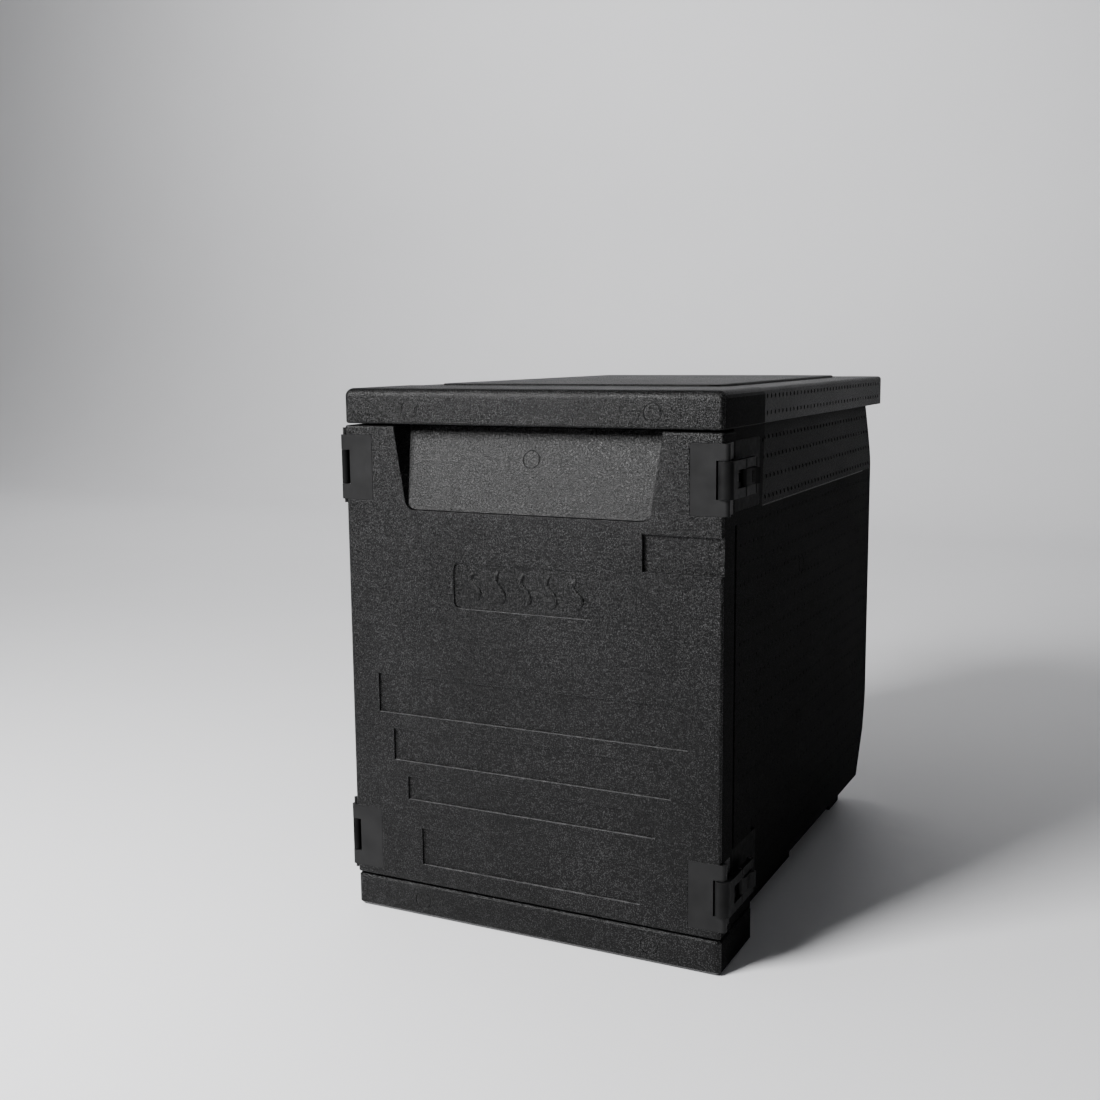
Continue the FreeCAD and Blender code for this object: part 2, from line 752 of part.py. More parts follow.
def badge_field():
    """A plain rounded field in the middle of the door."""
    half = D["badge_half"]
    field = block(
        "badge_block", (-half, FRONT - 5, D["badge_foot"]), (half, FRONT + D["badge_depth"], D["badge_top"])
    )
    return rounded("badge_field", field, (D["badge_corner"], lambda edge: edge.BoundBox.YLength > 3))


def tab_recess():
    """The side pull: a shallow recess that runs out at the door's opening edge."""
    low = (D["tab_inner"], FRONT - 5, D["tab_foot"])
    return block("tab_recess", low, (SIDE + 5, FRONT + D["tab_depth"], D["tab_top"]))


DOOR_ANCHOR = (PLUG_SIDE + 5, SIDE - D["arm_offset"] - 6.5)
DOOR_SCREW_X = (DOOR_ANCHOR[0] + DOOR_ANCHOR[1]) / 2
ANCHOR_FACE = DOOR_REAR - D["anchor_sink"]


def slot_edge(side):
    """The inner edge of the slot in a hinge plate on the left or a keeper plate on the right."""
    return D["slot_inner"] if side < 0 else D["keeper_slot"]


def plate_seats():
    """Recesses in the door for the four plates, their slots, the anchor plates behind and the screws."""
    tools = []
    reach = D["plate_height"] / 2
    slot = D["slot_height"] / 2 + 0.5
    for name, level in LEVELS.items():
        low, high = level - reach - 0.4, level + reach + 0.4
        for side in (-1, 1):
            place = f"{name}_{side}"
            inner, outer = D["plate_inner"] - 0.5, SIDE + 5
            floor = FRONT + D["plate_thick"] + 0.1
            edge = PIN_Y + 26 + D["seat_clear"]
            leg = SIDE - D["edge_leg"] - D["hole_clear"]
            tools += [
                mirrored_block(f"plate_seat_{place}", side, inner, outer, (FRONT - 5, low), (floor, high)),
                mirrored_block(f"edge_seat_{place}", side, leg, outer, (FRONT, low), (edge, high)),
            ]
            tools.append(
                mirrored_block(
                    f"slot_pocket_{place}",
                    side,
                    slot_edge(side),
                    SIDE + 5,
                    (FRONT, level - slot),
                    (PIN_Y + 8, level + slot),
                )
            )
            tools.append(
                mirrored_block(
                    f"door_anchor_seat_{place}",
                    side,
                    DOOR_ANCHOR[0] - D["seat_clear"],
                    DOOR_ANCHOR[1] + D["seat_clear"],
                    (DOOR_REAR - D["anchor_thick"] - D["anchor_sink"], low),
                    (DOOR_REAR + 5, high),
                )
            )
            for height in screw_heights(level):
                tools.append(
                    rod(
                        f"door_hole_{place}_{int(height.number)}",
                        D["screw_radius"] + D["hole_clear"],
                        (DOOR_SCREW_X * side, FRONT + 1, height),
                        D["door_thick"] + 4,
                        "y",
                    )
                )
        tools.append(
            mirrored_block(
                f"arm_way_{name}",
                -1,
                D["pin_x"] - D["arm_offset"] - D["hinge_arm"] / 2 - 1.5,
                SIDE + 5,
                (PIN_Y + 4, level - slot),
                (DOOR_REAR + 5, level + slot),
            )
        )
    return tools


def door_panel():
    """The foam door: an outer flange with its recesses and an inner plug that fills the cabin's mouth."""
    flange = block("door_flange", (-SIDE, FRONT, DOOR_FOOT), (SIDE, DOOR_REAR, DOOR_TOP))
    flange = rounded("door_flange_round", flange, (D["door_corner"], upright))
    rims = [(D["edge_round"], level_at(height)) for height in (DOOR_TOP, DOOR_FOOT)]
    flange = rounded("door_flange_soft", flange, *rims)
    plug = block(
        "door_plug",
        (-PLUG_SIDE, DOOR_REAR - 1, D["cabin_floor"] + D["plug_gap"]),
        (PLUG_SIDE, PLUG_REAR, D["cabin_top"] - D["plug_gap"]),
    )
    rim = (D["plug_round"], lambda edge: near(edge.BoundBox.YMin, PLUG_REAR))
    plug = rounded("door_plug_soft", plug, rim)
    solid = fused("door_solid", [flange, plug])
    tools = [pull_recess(), badge_field(), tab_recess()] + label_fields() + plate_seats()
    return cut("door_panel", solid, tools)


# ---------------------------------------------------------------- the door's plates, pins and anchors


def door_plate(label, level, side):
    """A plate let into the door's front corner, with a slot at its outer edge."""
    body = new_body(label + "_form")
    reach = D["plate_height"]
    centre_x = D["pin_x"] if side < 0 else D["keeper_x"]
    centre = (centre_x * side, PIN_Y)
    outer = centre_x + D["knuckle_radius"]
    flush = sided(side, *rectangle((D["plate_inner"], FRONT), (centre_x, FRONT + D["plate_thick"])))
    pad(body, "front", level, reach, outline=flush)
    edge = sided(side, *rectangle((SIDE - D["edge_leg"], FRONT + 3), (SIDE, PIN_Y + 26)))
    pad(body, "edge", level, reach, outline=edge)
    pad(body, "knuckles", level, reach, circle=(centre, D["knuckle_radius"]))
    window = sided(side, *rectangle((slot_edge(side), FRONT - 5), (outer + 5, PIN_Y + 30)))
    pocket(body, "slot", level, D["slot_height"], outline=window)
    if side < 0:
        bore = D["hinge_pin_radius"] + D["running_gap"]
        pocket(body, "bore", level, reach + 4, circle=(centre, bore))
    else:
        pad(body, "keeper", level, reach - 4, circle=(centre, D["keeper_radius"]))
    blind = (FRONT + 1.4, D["plate_thick"])
    return finished(label, body, door_screw_holes(label, level, side, blind, D["running_gap"]))


def hinge_pin(label, level):
    """A plain steel pin that stands out of the knuckles at both ends."""
    body = new_body(label)
    low = level - D["plate_height"] / 2 - 5
    high = level + D["plate_height"] / 2 + 9
    middle = (low + high) / 2
    pad(body, "pin", middle, high - low, circle=((-D["pin_x"], PIN_Y), D["hinge_pin_radius"]))
    return body


def door_anchor(label, level, side):
    """A flat plate in the door's rear face that the front plate's screws pull against."""
    body = new_body(label + "_form")
    outline = rectangle((DOOR_ANCHOR[0], ANCHOR_FACE - D["anchor_thick"]), (DOOR_ANCHOR[1], ANCHOR_FACE))
    pad(body, "plate", level, D["plate_height"], outline=sided(side, *outline))
    span = (ANCHOR_FACE - D["anchor_thick"] - 1, D["anchor_thick"] + 2)
    return finished(label, body, door_screw_holes(label, level, side, span, D["hole_clear"]))


def door_screw_holes(label, level, side, span, gap):
    """Front-to-back holes for a door plate's screws; span is where they start and how long they are."""
    radius = D["screw_radius"] + gap
    return [
        rod(f"{label}_hole_{number}", radius, (DOOR_SCREW_X * side, span[0], height), span[1], "y")
        for number, height in enumerate(screw_heights(level))
    ]


def finished(label, form, holes):
    """The named piece: its form less its screw holes."""
    form.Label = label + "_form"
    piece = cut(label + "_drilled", form, holes)
    piece.Label = label
    return piece


def screw_group(label, screws):
    """Separate pan-head screws; each is (base, length, axis, way), where way is +1 or -1 from its head."""
    made = []
    for number, (base, length, axis, way) in enumerate(screws, start=1):
        made.append(screw(f"{label}_{number}", base, length, axis, way))
    return group(label, made)


def screw(name, base, length, axis, way):
    """A screw whose head's underside is at base and whose shank runs the given way along the axis."""
    place = "xyz".index(axis)
    shank_base = list(base)
    head_base = list(base)
    if way < 0:
        shank_base[place] = size(base[place]) - length
    else:
        head_base[place] = size(base[place]) - D["screw_head"]
    shank = rod(name + "_shank", D["screw_radius"], shank_base, length, axis)
    head = rod(name + "_head", D["screw_head_radius"], head_base, D["screw_head"], axis)
    rim = head_base[place] if way > 0 else size(head_base[place]) + D["screw_head"]
    head = rounded(name + "_dome", head, (1.2, rim_at(place, rim)))
    return fused(name + "_whole", [shank, head])


def rim_at(place, value):
    """A head's outer rim, at a place along the screw's axis."""
    lows = ("XMin", "YMin", "ZMin")
    highs = ("XMax", "YMax", "ZMax")

    def test(edge):
        box = edge.BoundBox
        return near(getattr(box, lows[place]), value) and near(getattr(box, highs[place]), value)

    return test


# ---------------------------------------------------------------- the body's brackets, latches and anchors


def side_plate(body, level, side):
    """The flat plate of a bracket, let into the side wall behind the door."""
    outline = rectangle((WALL - D["bracket_thick"], BODY_FRONT + 0.3), (WALL, D["bracket_rear"]))
    pad(body, "plate", level, D["bracket_height"], outline=sided(side, *outline))


def bracket_screw_holes(label, level, side):
    """Sideways holes in a bracket for the screws that come through the wall."""
    start = WALL - D["bracket_thick"] - 1 if side > 0 else -(WALL - 0.8)
    return [
        rod(
            f"{label}_hole_{row}_{number}",
            D["screw_radius"] + D["running_gap"],
            (start, along, height),
            D["bracket_thick"] + 0.2,
            "x",
        )
        for row, along in enumerate(BRACKET_SCREWS)
        for number, height in enumerate(screw_heights(level))
    ]


def hinge_bracket(label, level):
    """A plate on the left wall with an arm that reaches through the door's slot to the hinge axis."""
    side = -1
    body = new_body(label + "_form")
    side_plate(body, level, side)
    tall = D["slot_height"] - 1
    arm = rectangle((WALL - D["hinge_arm"], PIN_Y + D["arm_offset"] - 1), (WALL, BODY_FRONT + 4))
    pad(body, "arm", level, tall, outline=sided(side, *arm))
    shift = D["hinge_arm"] / 2 / math.sqrt(2)
    far_x, far_y = D["pin_x"] - D["arm_offset"], PIN_Y + D["arm_offset"]
    elbow = [
        (D["pin_x"] - shift, PIN_Y - shift),
        (far_x - shift, far_y - shift),
        (far_x + shift, far_y + shift),
        (D["pin_x"] + shift, PIN_Y + shift),
    ]
    pad(body, "elbow", level, tall, outline=sided(side, *elbow))
    centre = (D["pin_x"] * side, PIN_Y)
    pad(body, "knuckle", level, tall, circle=(centre, D["knuckle_radius"] - 0.2))
    bore = D["hinge_pin_radius"] + D["running_gap"]
    pocket(body, "bore", level, tall + 4, circle=(centre, bore))
    return finished(label, body, bracket_screw_holes(label, level, side))


HOOK_WINDOW = D["hook_height"] - D["hook_rail"] * 2
LUGS_OUTER = HOOK_WINDOW - D["lug_gap"] * 2
LUGS_INNER = LUGS_OUTER - D["lug_height"] * 2
LATCH_PIN = (D["latch_x"], D["latch_pin_y"])
LEVER_PIN = (D["latch_x"], D["lever_pin_y"])


def latch_bracket(label, level):
    """A plate on the right wall with two lugs for the latch's pin."""
    body = new_body(label + "_form")
    side_plate(body, level, 1)
    reach = 4
    web = rectangle((WALL - 1, D["latch_pin_y"] - reach), (D["latch_x"], D["latch_pin_y"] + reach))
    pad(body, "webs", level, LUGS_OUTER, outline=web)
    pad(body, "lugs", level, LUGS_OUTER, circle=(LATCH_PIN, reach))
    clear = reach + 2
    middle = rectangle((WALL, D["latch_pin_y"] - clear), (D["latch_x"] + clear, D["latch_pin_y"] + clear))
    pocket(body, "fork", level, LUGS_INNER, outline=middle)
    bore = D["latch_pin_radius"] + D["running_gap"]
    pocket(body, "bore", level, LUGS_OUTER + 4, circle=(LATCH_PIN, bore))
    return finished(label, body, bracket_screw_holes(label, level, 1))


def latch_hook(label, level):
    """A windowed frame that turns on its bracket and ends in a roll round the door's keeper bar."""
    body = new_body(label)
    tall = D["hook_height"]
    keeper = (D["keeper_x"], PIN_Y)
    inner, outer = D["keeper_x"] + D["hook_inner"], D["keeper_x"] + D["hook_outer"]
    pad(body, "frame", level, tall, outline=rectangle((inner, PIN_Y), (outer, D["latch_pin_y"])))
    pad(body, "rear_eye", level, tall, circle=(LATCH_PIN, D["latch_eye"]))
    pad(body, "lever_eye", level, tall, circle=(LEVER_PIN, D["latch_eye"]))
    pad(body, "roll", level, tall, circle=(keeper, D["hook_outer"]))
    pocket(body, "roll_bore", level, tall + 2, circle=(keeper, D["hook_inner"]))
    behind = rectangle((D["keeper_x"] - D["hook_outer"] - 2, PIN_Y + 1.5), (inner, PIN_Y + 12))
    pocket(body, "roll_mouth", level, tall + 2, outline=behind)
    window = rectangle((WALL + 1, D["window_front"]), (outer + 5, D["latch_pin_y"] + 8))
    pocket(body, "window", level, HOOK_WINDOW, outline=window)
    bore = D["latch_pin_radius"] + D["running_gap"]
    pocket(body, "rear_bore", level, tall + 2, circle=(LATCH_PIN, bore))
    pocket(body, "lever_bore", level, tall + 2, circle=(LEVER_PIN, bore))
    return body


def latch_lever(label, level):
    """A finger lever that turns in the hook's window, with a nose that bears on the bracket's plate."""
    body = new_body(label)
    tall = HOOK_WINDOW - D["lug_gap"] * 2
    centre_x, centre_y = LEVER_PIN
    skin = (centre_x + 2.6, centre_x + 5.8)
    pad(body, "hub", level, tall, circle=(LEVER_PIN, D["latch_eye"] - 0.4))
    leaf = [
        (centre_x - 1, centre_y + 2),
        (centre_x - 1, centre_y),
        (centre_x + 3.8, centre_y),
        (skin[1], centre_y + 8),
        (skin[1], D["lever_tip"] - 8),
        (skin[1] + 4.5, D["lever_tip"]),
        (skin[1] + 1.5, D["lever_tip"]),
        (skin[0], D["lever_tip"] - 6),
        (skin[0], centre_y + 9),
    ]
    pad(body, "leaf", level, tall, outline=leaf)
    nose = rectangle((WALL + 0.9, centre_y - 3), (centre_x, centre_y + 3))
    pad(body, "nose", level, tall / 2, outline=nose)
    pocket(body, "bore", level, tall + 2, circle=(LEVER_PIN, D["latch_pin_radius"] + D["running_gap"]))
    return body


def latch_pin(label, level, centre):
    """A short steel pin that ends flush with the hook's rails."""
    body = new_body(label)
    pad(body, "pin", level, D["hook_height"] + 1, circle=(centre, D["latch_pin_radius"]))
    return body


def wall_anchor(label, level, side):
    """A flat plate in the cabin's wall that a bracket's screws pull against."""
    body = new_body(label + "_form")
    outline = rectangle((CABIN, ANCHOR_FRONT), (CABIN + D["anchor_thick"], D["bracket_rear"]))
    pad(body, "plate", level, D["bracket_height"], outline=sided(side, *outline))
    start = CABIN - 1 if side > 0 else -(CABIN + D["anchor_thick"] + 1)
    radius = D["screw_radius"] + D["hole_clear"]
    length = D["anchor_thick"] + 2
    holes = [
        rod(f"{label}_hole_{row}_{number}", radius, (start, along, height), length, "x")
        for row, along in enumerate(BRACKET_SCREWS)
        for number, height in enumerate(screw_heights(level))
    ]
    return finished(label, body, holes)


def door_screws(side):
    """Where a pair of door plates' screws are, on one side."""
    length = ANCHOR_FACE - FRONT - 1.8
    return [
        ((DOOR_SCREW_X * side, ANCHOR_FACE, height), length, "y", -1)
        for level in LEVELS.values()
        for height in screw_heights(level)
    ]


def wall_screws(side):
    """Where a pair of brackets' screws are, on one side."""
    length = WALL - CABIN - 1.2
    return [
        ((CABIN * side, along, height), length, "x", side)
        for level in LEVELS.values()
        for along in BRACKET_SCREWS
        for height in screw_heights(level)
    ]


# ---------------------------------------------------------------- the whole carrier


def build():
    """Make every sub-part and return them by node name."""
    pieces = body_blocks()
    pieces["tray_rails_left"] = tray_rails("tray_rails_left", -1)
    pieces["tray_rails_right"] = tray_rails("tray_rails_right", 1)
    pieces["door_panel"] = door_panel()
    for name, level in LEVELS.items():
        pieces[f"hinge_plate_{name}"] = door_plate(f"hinge_plate_{name}", level, -1)
        pieces[f"keeper_plate_{name}"] = door_plate(f"keeper_plate_{name}", level, 1)
        pieces[f"hinge_pin_{name}"] = hinge_pin(f"hinge_pin_{name}", level)
        pieces[f"hinge_bracket_{name}"] = hinge_bracket(f"hinge_bracket_{name}", level)
        pieces[f"latch_bracket_{name}"] = latch_bracket(f"latch_bracket_{name}", level)
        pieces[f"latch_hook_{name}"] = latch_hook(f"latch_hook_{name}", level)
        pieces[f"latch_lever_{name}"] = latch_lever(f"latch_lever_{name}", level)
        pieces[f"hook_pin_{name}"] = latch_pin(f"hook_pin_{name}", level, LATCH_PIN)
        pieces[f"lever_pin_{name}"] = latch_pin(f"lever_pin_{name}", level, LEVER_PIN)
        for side, word in ((-1, "hinge"), (1, "latch")):
            title = f"door_anchor_{word}_{name}"
            pieces[title] = door_anchor(title, level, side)
            title = f"wall_anchor_{word}_{name}"
            pieces[title] = wall_anchor(title, level, side)
    for side, word in ((-1, "hinge"), (1, "latch")):
        title = f"door_screws_{word}"
        pieces[title] = screw_group(title, door_screws(side))
        title = f"wall_screws_{word}"
        pieces[title] = screw_group(title, wall_screws(side))
    for title, piece in pieces.items():
        piece.Label = title
    doc.recompute()
    return pieces


def check(pieces):
    """Stop if any object failed or any sub-part isn't a sound solid."""
    for item in doc.Objects:
        if {"Invalid", "Error"} & set(item.State):
            raise RuntimeError(f"{item.Name} failed: {item.State}")
    for title, piece in pieces.items():
        shape = piece.Shape
        if shape.isNull() or not shape.isValid() or not shape.Solids:
            raise RuntimeError(f"{title} is not a sound solid")
        if len(shape.Solids) > 1 and not {"screws", "rails"} & set(title.split("_")):
            raise RuntimeError(f"{title} has {len(shape.Solids)} solids")


def write(pieces):
    os.makedirs("parts", exist_ok=True)
    for title, piece in pieces.items():
        piece.Shape.exportStep(f"parts/{title}.step")


carrier = build()
check(carrier)
write(carrier)
for title, piece in carrier.items():
    print(title, len(piece.Shape.Solids), round(piece.Shape.Volume / 1000, 2), "cm3")
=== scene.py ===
"""Looks for the insulated food carrier: moulded foam shells, satin plastic fittings and steel pins.

Everything is in metres in the carrier's own frame: X to the right of someone facing the door, Y from the
door to the rear wall, Z up, with the origin on the floor under the middle of the body.
"""
import json
import math

import bmesh
import bpy
from mathutils import Matrix, Vector
from mathutils.bvhtree import BVHTree


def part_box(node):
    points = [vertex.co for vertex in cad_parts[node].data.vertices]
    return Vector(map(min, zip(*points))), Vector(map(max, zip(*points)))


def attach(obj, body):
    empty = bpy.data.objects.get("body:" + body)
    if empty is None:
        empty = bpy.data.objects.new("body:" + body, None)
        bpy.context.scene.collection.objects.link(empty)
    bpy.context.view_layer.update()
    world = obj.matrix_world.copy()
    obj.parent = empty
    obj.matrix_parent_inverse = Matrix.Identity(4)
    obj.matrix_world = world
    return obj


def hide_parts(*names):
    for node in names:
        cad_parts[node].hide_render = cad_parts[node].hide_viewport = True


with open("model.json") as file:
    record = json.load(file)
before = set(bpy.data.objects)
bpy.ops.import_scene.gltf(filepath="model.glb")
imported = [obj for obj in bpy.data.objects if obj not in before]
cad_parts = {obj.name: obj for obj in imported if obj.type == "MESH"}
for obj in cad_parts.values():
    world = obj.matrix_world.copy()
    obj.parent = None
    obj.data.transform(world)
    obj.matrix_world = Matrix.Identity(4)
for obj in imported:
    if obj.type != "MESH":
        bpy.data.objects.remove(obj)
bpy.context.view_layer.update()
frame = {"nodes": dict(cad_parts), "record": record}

MM = 0.001
X = Vector((1.0, 0.0, 0.0))
Y = Vector((0.0, 1.0, 0.0))
Z = Vector((0.0, 0.0, 1.0))

# ---------------------------------------------------------------- places read from the frame

SHELL = [
    "top_slab",
    "base_block",
    "wall_left",
    "wall_right",
    "wall_rear",
    "tray_rails_left",
    "tray_rails_right",
]
LEVELS = ("upper", "lower")
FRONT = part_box("door_panel")[0].y
SLAB_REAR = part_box("top_slab")[1].y
WALL_LOW, WALL_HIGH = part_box("wall_right")
RAIL_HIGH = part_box("tray_rails_right")[1]
CABIN_HALF = RAIL_HIGH.x

# ---------------------------------------------------------------- values chosen

# Where rays start, well outside the carrier, and the least angle in degrees of a sharp edge.
FAR = 1.0
SHARP_ANGLE = 35.0

# The bounds of the foam's finishes.
FRONT_ZONE = FRONT + 45 * MM
BLOCK_REAR = FRONT + 151 * MM
CABIN_REAR = RAIL_HIGH.y + 21 * MM
CABIN_FOOT = 61 * MM
CABIN_TOP = 625 * MM
LEDGE_TOP = 470 * MM
SLAB_FOOT = 643 * MM

# The lower edge and the ends of the side grips, and the height of the badge field's middle.
GRIP_FOOT = 543 * MM
GRIP_START = -232 * MM
GRIP_END = 270 * MM
BADGE_MIDDLE = 444 * MM

# The heights of the rows of steam vents and the gaps between neighbours in a row.
SLAB_VENT_ROWS = [655 * MM, 675 * MM]
GRIP_VENT_ROWS = [step * MM for step in (552, 576, 600, 623)]
WALL_VENT_ROWS = [(528 - 23.7 * step) * MM for step in range(20)]
VENT_PITCH = 16 * MM
REAR_VENT_PITCH = 24 * MM
INNER_VENT_PITCH = 30 * MM

# ---------------------------------------------------------------- materials


class Shader:
    """A material's node tree with short calls for the nodes it needs."""

    def __init__(self, name):
        self.material = bpy.data.materials.new(name)
        self.material.use_nodes = True
        self.tree = self.material.node_tree
        self.surface = self.tree.nodes["Principled BSDF"]
        self.place = self.tree.nodes.new("ShaderNodeTexCoord").outputs["Object"]

    def node(self, kind, inputs=(), **settings):
        """A node with its settings and the values or links of its inputs."""
        made = self.tree.nodes.new(f"ShaderNode{kind}")
        for key, value in settings.items():
            setattr(made, key, value)
        for socket, value in dict(inputs).items():
            self.feed(made.inputs[socket], value)
        return made

    def feed(self, socket, value):
        if isinstance(value, bpy.types.NodeSocket):
            self.tree.links.new(value, socket)
        else:
            socket.default_value = value

    def noise(self, scale, detail=2.0, rough=0.5, place=None):
        """A cloudy pattern between 0 and 1."""
        place = place or self.place
        inputs = {"Vector": place, "Scale": scale, "Detail": detail, "Roughness": rough}
        return self.node("TexNoise", inputs).outputs["Fac"]

    def cells(self, scale, feature="F1", output="Distance"):
        """A pattern of irregular cells: the distance to their middles or edges, or their own colours."""
        made = self.node("TexVoronoi", {"Vector": self.place, "Scale": scale}, feature=feature)
        return made.outputs[output]

    def spread(self, value, low, high, to_low=0.0, to_high=1.0):
        """A value remapped from one range to another and held inside it."""
        ranges = {"Value": value, "From Min": low, "From Max": high, "To Min": to_low, "To Max": to_high}
        return self.node("MapRange", ranges).outputs["Result"]

    def maths(self, operation, first, second=0.0):
        made = self.node("Math", operation=operation)
        self.feed(made.inputs[0], first)
        self.feed(made.inputs[1], second)
        return made.outputs["Value"]

    def total(self, *shares):
        """The sum of (value, weight) pairs."""
        parts = [self.maths("MULTIPLY", value, weight) for value, weight in shares]
        result = parts[0]
        for part in parts[1:]:
            result = self.maths("ADD", result, part)
        return result

    def mix(self, share, first, second):
        """A colour between two colours."""
        made = self.node("Mix", data_type="RGBA")
        self.feed(made.inputs["Factor"], share)
        self.feed(made.inputs[6], first)
        self.feed(made.inputs[7], second)
        return made.outputs[2]

    def soft_normal(self, radius):
        """The surface's normal with its sharp edges rounded."""
        return self.node("Bevel", {"Radius": radius}, samples=4).outputs["Normal"]

    def edges(self, rounded_normal):
        """1 where the surface turns sharply."""
        flat = self.node("NewGeometry").outputs["Normal"]
        same = self.node("VectorMath", operation="DOT_PRODUCT")
        self.feed(same.inputs[0], rounded_normal)
        self.feed(same.inputs[1], flat)
        return self.spread(same.outputs["Value"], 0.995, 0.90)

    def bump(self, height, distance, under):
        """A normal that adds a relief of the given distance to the normal under it."""
        inputs = {"Height": height, "Distance": distance, "Strength": 1.0, "Normal": under}
        return self.node("Bump", inputs).outputs["Normal"]

    def finish(self, colour, roughness, normal, **constants):
        self.feed(self.surface.inputs["Base Color"], colour)
        self.feed(self.surface.inputs["Roughness"], roughness)
        self.feed(self.surface.inputs["Normal"], normal)
        for socket, value in constants.items():
            self.surface.inputs[socket.replace("_", " ")].default_value = value
        return self.material


def grey(value):
    """A very slightly cool grey."""
    return (value, value, value * 1.02, 1.0)


def foam_material(name, tones, shine, grain, relief, specular):
    """Moulded foam: pebbled grain over faint bead outlines, with pebble tops lightened as painted
    glints, edges lightened as scuffs and as a painted edge highlight, and dusty patches.
    """
    s = Shader(name)
    soft = s.soft_normal(1.4 * MM)
    beads = 235.0
    bead_line = s.spread(s.cells(beads, "DISTANCE_TO_EDGE"), 0.0, 0.09)
    bead_tone = s.node("SeparateColor", {"Color": s.cells(beads, output="Color")}).outputs["Red"]
    pebble = s.spread(s.cells(grain, "F1"), 0.10, 0.62, 1.0, 0.0)
    fine = s.noise(grain * 1.3, 3.0, 0.65)
    clouds = s.noise(7.0, 4.0, 0.55)
    # Random cloud, bead and grain tone, with the pebble tops lifted into sparse light specks: painted
    # glints on the grain.
    tone_and_glints = s.total((clouds, 0.25), (bead_tone, 0.15), (fine, 0.45), (pebble, 0.45))
    colour = s.mix(s.spread(tone_and_glints, 0.58, 0.95), grey(tones[0]), grey(tones[1]))
    # Edges lightened in patches: partly scuffs, partly a painted edge highlight.
    edge_patches = s.spread(s.noise(130.0, 3.0), 0.46, 0.66)
    lighter_edges = s.maths("MULTIPLY", s.edges(soft), edge_patches)
    colour = s.mix(s.maths("MULTIPLY", lighter_edges, 0.55), colour, grey(tones[1] * 1.8))
    polish = s.total((fine, 0.7), (clouds, 0.3))
    rough = s.spread(polish, 0.30, 0.70, shine[0], shine[1])
    height = s.total((pebble, 0.6), (fine, 0.9), (bead_line, 0.30))
    return s.finish(colour, rough, s.bump(height, relief, soft), Specular_IOR_Level=specular)


def nylon_material(name, tones, shine, specular):
    """Satin moulded plastic with a very fine spark-eroded grain and rubbed edges."""
    s = Shader(name)
    soft = s.soft_normal(0.5 * MM)
    fine = s.noise(1500.0)
    clouds = s.noise(28.0, 3.0)
    smear = s.noise(120.0, 4.0, 0.6)
    colour = s.mix(s.spread(clouds, 0.35, 0.65), grey(tones[0]), grey(tones[1]))
    edge_patches = s.spread(s.noise(260.0, 3.0), 0.44, 0.64)
    lighter_edges = s.maths("MULTIPLY", s.edges(soft), edge_patches)
    colour = s.mix(s.maths("MULTIPLY", lighter_edges, 0.6), colour, grey(0.05))
    rough = s.spread(smear, 0.3, 0.7, shine[0], shine[1])
    height = s.total((fine, 1.0), (smear, 0.5))
    return s.finish(colour, rough, s.bump(height, 0.03 * MM, soft), Specular_IOR_Level=specular)


def steel_material():
    """Drawn steel with fine lengthwise scratches and darker handling marks."""
    s = Shader("pin_steel")
    soft = s.soft_normal(0.3 * MM)
    stretched = s.node("Mapping", {"Vector": s.place, "Scale": (900.0, 900.0, 60.0)}).outputs["Vector"]
    lines = s.noise(1.0, 4.0, 0.6, stretched)
    marks = s.noise(160.0, 3.0, 0.6)
    # Painted shade: the steel's colour is held very dark, 0.12 to 0.22, for pins that sit in shadow; the
    # marks vary it at random.
    colour = s.mix(s.spread(marks, 0.3, 0.7), grey(0.12), grey(0.22))
    rough = s.spread(lines, 0.3, 0.7, 0.22, 0.42)
    return s.finish(colour, rough, s.bump(lines, 0.02 * MM, soft), Metallic=1.0)


FOAM_FRONT = foam_material("foam_leather", (0.0005, 0.036), (0.18, 0.42), 560.0, 0.42 * MM, 0.14)
FOAM_TOP = foam_material("foam_crown", (0.001, 0.032), (0.36, 0.54), 540.0, 0.50 * MM, 0.08)
FOAM_GRIP = foam_material("foam_grip", (0.001, 0.012), (0.50, 0.66), 540.0, 0.40 * MM, 0.05)
FOAM_SIDE = foam_material("foam_skin", (0.002, 0.016), (0.62, 0.80), 580.0, 0.34 * MM, 0.025)
# Painted highlight: the label fields' upward-facing ledges get this much lighter, glossier copy of the
# foam, standing in for the light they catch.
FOAM_LEDGE_HIGHLIGHT = foam_material("foam_ledge_highlight", (0.02, 0.12), (0.25, 0.50), 560.0, 0.30 * MM, 0.5)
FOAM_INSIDE = foam_material("foam_inside", (0.010, 0.045), (0.50, 0.66), 580.0, 0.38 * MM, 0.10)
NYLON = nylon_material("fitting_plastic", (0.008, 0.012), (0.36, 0.48), 0.09)
LATCH_NYLON = nylon_material("latch_plastic", (0.004, 0.008), (0.42, 0.56), 0.055)
# Painted shade: a darker, duller copy of the fitting plastic for the brackets, which sit in shade on the
# carrier's sides.
BRACKET_NYLON_SHADED = nylon_material("bracket_plastic_shaded", (0.003, 0.006), (0.50, 0.64), 0.03)
STEEL = steel_material()
FINISHES = {"foam": FOAM_SIDE, "nylon": NYLON, "steel": STEEL}

for row in frame["record"]["subparts"]:
    node_mesh = frame["nodes"][row["node"]].data
    node_mesh.materials.clear()
    finish = FINISHES[row["material_slot"]]
    # The brackets take the darker copy of the plastic as painted shade.
    if row["node"].startswith(("hinge_bracket", "latch_bracket")):
        finish = BRACKET_NYLON_SHADED
    elif row["node"].startswith("latch_hook"):
        finish = LATCH_NYLON
    node_mesh.materials.append(finish)


# ---------------------------------------------------------------- meshes


